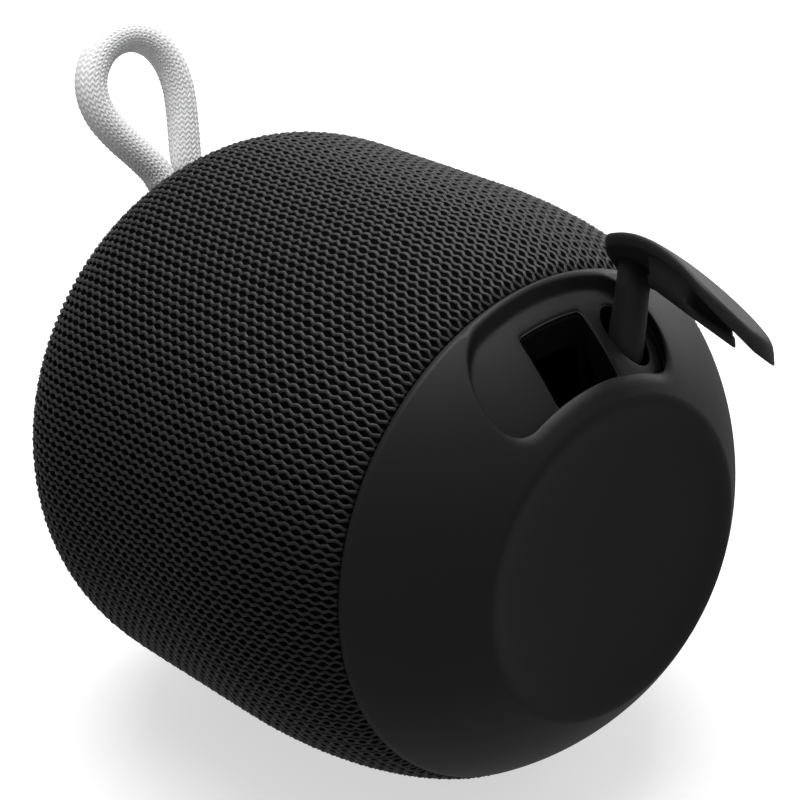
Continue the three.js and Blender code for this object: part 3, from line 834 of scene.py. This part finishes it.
def plug_ring(offset, rise):
    """A ring of the plug, that far above its flat foot."""
    flat = rounded_box(*PLUG, PLUG_CORNER, offset)
    level, by_height, by_across = PLUG_FOOT
    foot = level + by_height * (flat[:, 0] - PLUG[1]) + by_across * flat[:, 1]
    return np.stack([-flat[:, 0], flat[:, 1], foot + rise], -1)


def door_plug():
    """The hollow plug under the cover, with a lip round its foot. Its top is inside the cover."""
    outer = on_door(rounded_box(*PLUG, PLUG_CORNER, 0.0), PLUG_TOP_DEPTH)
    inner = on_door(rounded_box(*PLUG, PLUG_CORNER, -PLUG_WALL_THICKNESS), PLUG_TOP_DEPTH)
    rows = [outer, *[plug_ring(offset, rise) for offset, rise in PLUG_WALL], inner]
    shape = Shape()
    shape.grid([row[::-1] for row in rows])
    return shape


def cover_plane():
    """A point inside the open cover, on the post's line, and the cover's direction outwards there."""
    spots = np.array([[-POST.x, POST.y], [1 - POST.x, POST.y], [-POST.x, POST.y + 1]])
    middle, higher, further = on_base(spots, POST_TOP_DEPTH)
    normal = np.array(opened().to_3x3()) @ np.cross(higher - middle, further - middle)
    return np.array(opened() @ Vector(middle)), normal


def door_post():
    """The post the door hangs on, cut at its top to the slope of the cover it goes into."""
    stand = Matrix.Translation(POST) @ Matrix.Rotation(-POST_LEAN, 4, "X")
    shaft = turned(POST_PROFILE, 48, stand)
    middle, normal = cover_plane()
    line = np.array(POST_LINE)
    ring = shaft[-1]
    top = ring + ((middle - ring) @ normal / (line @ normal))[:, None] * line
    shape = Shape()
    shape.grid(np.concatenate([shaft, top[None]]))
    shape.add(top, [list(range(len(top)))])
    return shape


def port_door():
    shape = door_cover().take(door_plug()).moved(opened()).take(door_post())
    piece = shape.build("port_door_rubber", [DOOR_RUBBER])
    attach(piece, "port_door")
    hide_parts("port_door")


# Top cap and its keys

def on_top(flat, depth):
    """Flat (up, across) points set that far under the top face."""
    depths = np.broadcast_to(depth, len(flat))
    return np.stack([depths - BODY_HEIGHT, flat[:, 1], flat[:, 0]], -1)


TOP_EDGE = [
    (31.5, 98.2), (33.1, 98.3), (33.4, 98.7), (33.25, 99.2), (32.6, 100.1), (31.6, 100.9),
    (30.3, 101.5), (28.7, 101.88), (FLAT_TOP_RADIUS, BODY_HEIGHT),
]
OPENING_RIM = [(0.5, 0.0), (0.24, 0.04), (0.08, 0.13), (0.0, 0.32)]   # offset, depth
OPENING_WALL = (0.32, 1.0, 2.5)
TOP_SPACING = 1.3
TOP_EDGE_SPACING = 0.9
OPENING_SPACING = 1.0


def top_cap():
    angles = np.arange(AROUND) * tau / AROUND
    edge = np.array(TOP_EDGE)
    shape = Shape()
    shape.grid(barrel_points(edge[:, :1], edge[:, 1:], angles[None, :]))
    rim = circle((0, 0), FLAT_TOP_RADIUS, AROUND)
    spread = np.arange(-26, 27, TOP_SPACING)
    lattice = np.stack(np.meshgrid(spread, spread), -1).reshape(-1, 2)
    keep = np.hypot(*lattice.T) < FLAT_TOP_RADIUS - TOP_EDGE_SPACING
    openings = [(at, radius + KEY_GAP) for at, radius, mark in KEYS.values()] + [(LIGHT_PLACE, LIGHT_HOLE)]
    loops, holes = [], []
    for at, radius in openings:
        rings = [(circle(at, radius + offset, 64), depth) for offset, depth in OPENING_RIM]
        loops += rings
        holes.append(rings[-1][0])
        keep &= np.hypot(*(lattice - at).T) > radius + OPENING_SPACING
    shape.sheet(loops, [(lattice[keep], 0.0)], on_top, boundary=(rim, 0.0), holes=holes)
    for hole in holes:
        shape.grid([on_top(hole, depth) for depth in OPENING_WALL][::-1])
    piece = shape.build("top_cap_rubber", [TOP_RUBBER])
    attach(piece, "root")
    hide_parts("top_cap")


def facing_top(at, height):
    """Places something drawn along +Z at a spot of the top face, at a height above the foot plane."""
    return Matrix.Translation((-height, at[1], at[0])) @ Matrix.Rotation(-pi / 2, 4, "Y")


MARK_RIM = [(0.0, -0.2), (0.0, 0.2), (-0.06, 0.3), (-0.2, 0.34)]   # offset, and rise above the key


def mark_bar(shape, at, direction):
    """One raised bar of a plus or minus."""
    rings = []
    for offset, rise in MARK_RIM:
        ring = round_ended(MARK_HALF_LENGTH, MARK_HALF_WIDTH, offset, centre=(0, 0), ends=8, sides=8)
        if direction == "up":
            ring = ring[:, ::-1] * [1, -1]
        rings.append(on_top(ring + at, BODY_HEIGHT - KEY_TOP - rise))
    shape.grid(rings)
    shape.add(rings[-1], [list(range(len(rings[-1])))])


def top_button(name, at, radius, mark):
    """A key with a nearly flat crown that rounds over at its edge."""
    shape = Shape()
    crown = [(0, -0.12), (radius * 0.5, -0.09), (radius - 1.1, -0.02), (radius - 0.6, -0.01),
             (radius - 0.28, -0.07), (radius - 0.08, -0.24), (radius, -0.5), (radius, -2.4)]
    shape.grid(turned(crown[::-1], 72, facing_top(at, KEY_TOP)))
    for direction in MARK_BARS.get(mark, ()):
        mark_bar(shape, at, direction)
    piece = shape.build(f"{name}_key_rubber", [KEY_RUBBER])
    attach(piece, f"{name}_key")
    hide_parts(f"{name}_key")


def status_light():
    shape = Shape()
    dome = [(1.0, -4), (1.0, -0.3), (0.9, -0.1), (0.6, 0.05), (0, 0.1)]
    shape.grid(turned(dome, 32, facing_top(LIGHT_PLACE, BODY_HEIGHT - 0.1)))
    piece = shape.build("status_light_lens", [LENS])
    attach(piece, "root")
    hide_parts("status_light")


# Finishes of the CAD pieces that stay: (dark, light, roughness, metallic, grain)
FINISHES = {
    "chassis_plastic": ((0.020, 0.020, 0.022), (0.030, 0.030, 0.033), (0.45, 0.6), 0, 2600),
    "port_plastic": ((0.006, 0.006, 0.006), (0.010, 0.010, 0.010), (0.5, 0.65), 0, 2600),
    "clip_plastic": ((0.11, 0.11, 0.12), (0.15, 0.15, 0.16), (0.4, 0.55), 0, 2600),
    "socket_steel": ((0.42, 0.42, 0.44), (0.55, 0.55, 0.57), (0.25, 0.4), 1, 3000),
    "circuit_board": ((0.008, 0.07, 0.03), (0.012, 0.10, 0.045), (0.35, 0.5), 0, 1200),
    "switch_metal": ((0.45, 0.45, 0.46), (0.6, 0.6, 0.61), (0.25, 0.4), 1, 3000),
    "driver_steel": ((0.38, 0.38, 0.40), (0.5, 0.5, 0.52), (0.3, 0.45), 1, 1800),
    "cone_paper": ((0.03, 0.03, 0.031), (0.05, 0.05, 0.052), (0.7, 0.9), 0, 900),
    "surround_rubber": ((0.012, 0.012, 0.013), (0.018, 0.018, 0.02), (0.5, 0.65), 0, 3000),
    "seal_foam": ((0.05, 0.05, 0.05), (0.08, 0.08, 0.08), (0.85, 1.0), 0, 700),
    "battery_sleeve": ((0.03, 0.09, 0.26), (0.04, 0.12, 0.33), (0.3, 0.45), 0, 1500),
    "screw_steel": ((0.4, 0.4, 0.41), (0.5, 0.5, 0.51), (0.3, 0.45), 1, 2500),
}


def finish_cad_nodes():
    """Gives every CAD node that still shows the procedural finish of its material slot."""
    made = {}
    for slot, (dark, light, roughness, metallic, grain) in FINISHES.items():
        made[slot] = grained(f"{slot}_finish", dark, light, roughness, grain=grain, Metallic=metallic)
    slot_of = {entry["node"]: entry["material_slot"] for entry in frame["record"]["subparts"]}
    for name, node in frame["nodes"].items():
        if node.hide_render:
            continue
        node.data.materials.clear()
        node.data.materials.append(made[slot_of[name]])


# Studio

FLOOR_RADIUS = 1.6
FLOOR_BEND = 0.5
BACKDROP_HEIGHT = 1.4
FLOOR_COLUMNS = 96
FLOOR_DROP = 0.0002                  # keeps the floor just clear of the underside
AIM = (0, 0, 0.045)
SOFTBOXES = [                        # name, place, size and power
    ("top_softbox", (-0.1, 0.1, 0.9), (0.8, 0.8), 10.5),
    ("back_softbox", (-0.7, 0.57, 0.45), (0.6, 0.4), 1.15),
    ("side_softbox", (-0.15, 0.8, 0.25), (0.6, 0.35), 1.9),
]
WORLD_STRENGTH = 0.3


def floor_material():
    """Pale paper with a little light of its own, so that the shadow on it stays soft."""
    nodes = Nodes("pale_floor")
    pale = nodes.ramp(nodes.noise(30), (0.54, 0.54, 0.54), (0.57, 0.57, 0.57))
    nodes.link(pale, nodes.shader.inputs["Base Color"])
    nodes.set(Roughness=0.9, Specular_IOR_Level=0.1, Emission_Color=(1, 1, 1, 1), Emission_Strength=0.6)
    return nodes.material


def add_floor():
    """A round pale floor that rises into a backdrop. It takes the shadow, but lights nothing."""
    start = FLOOR_RADIUS - FLOOR_BEND
    bend = [(start + FLOOR_BEND * sin(turn), FLOOR_BEND - FLOOR_BEND * cos(turn))
            for turn in np.linspace(0, pi / 2, 13)]
    rows = turned([*bend, (FLOOR_RADIUS, BACKDROP_HEIGHT)], FLOOR_COLUMNS)
    shape = Shape()
    shape.grid(rows)
    shape.add(rows[0], [list(range(FLOOR_COLUMNS))])
    mesh = bpy.data.meshes.new("floor")
    mesh.from_pydata(np.concatenate(shape.points).tolist(), [], shape.faces)
    mesh.materials.append(floor_material())
    mesh.shade_smooth()
    floor = bpy.data.objects.new("floor", mesh)
    floor.location.z = -FLOOR_DROP
    floor.visible_diffuse = False
    floor.visible_glossy = False
    floor.visible_shadow = False
    bpy.context.scene.collection.objects.link(floor)


def add_light(name, position, size, power):
    """A softbox that faces the object."""
    data = bpy.data.lights.new(name, "AREA")
    data.shape = "RECTANGLE"
    data.size, data.size_y = size
    data.energy = power
    light = bpy.data.objects.new(name, data)
    light.location = position
    light.rotation_euler = (Vector(position) - Vector(AIM)).to_track_quat("Z", "Y").to_euler()
    bpy.context.scene.collection.objects.link(light)


def add_studio():
    for softbox in SOFTBOXES:
        add_light(*softbox)
    world = bpy.data.worlds.new("studio")
    bpy.context.scene.world = world
    world.use_nodes = True
    background = world.node_tree.nodes["Background"]
    background.inputs["Color"].default_value = (1, 1, 1, 1)
    background.inputs["Strength"].default_value = WORLD_STRENGTH
    bpy.context.scene.view_settings.view_transform = "Standard"


add_camera()
carry_loop()
sleeve()
base_cap()
port_door()
top_cap()
for key_name, (key_at, key_radius, key_mark) in KEYS.items():
    top_button(key_name, key_at, key_radius, key_mark)
status_light()
finish_cad_nodes()
add_floor()
add_studio()

bpy.context.view_layer.update()
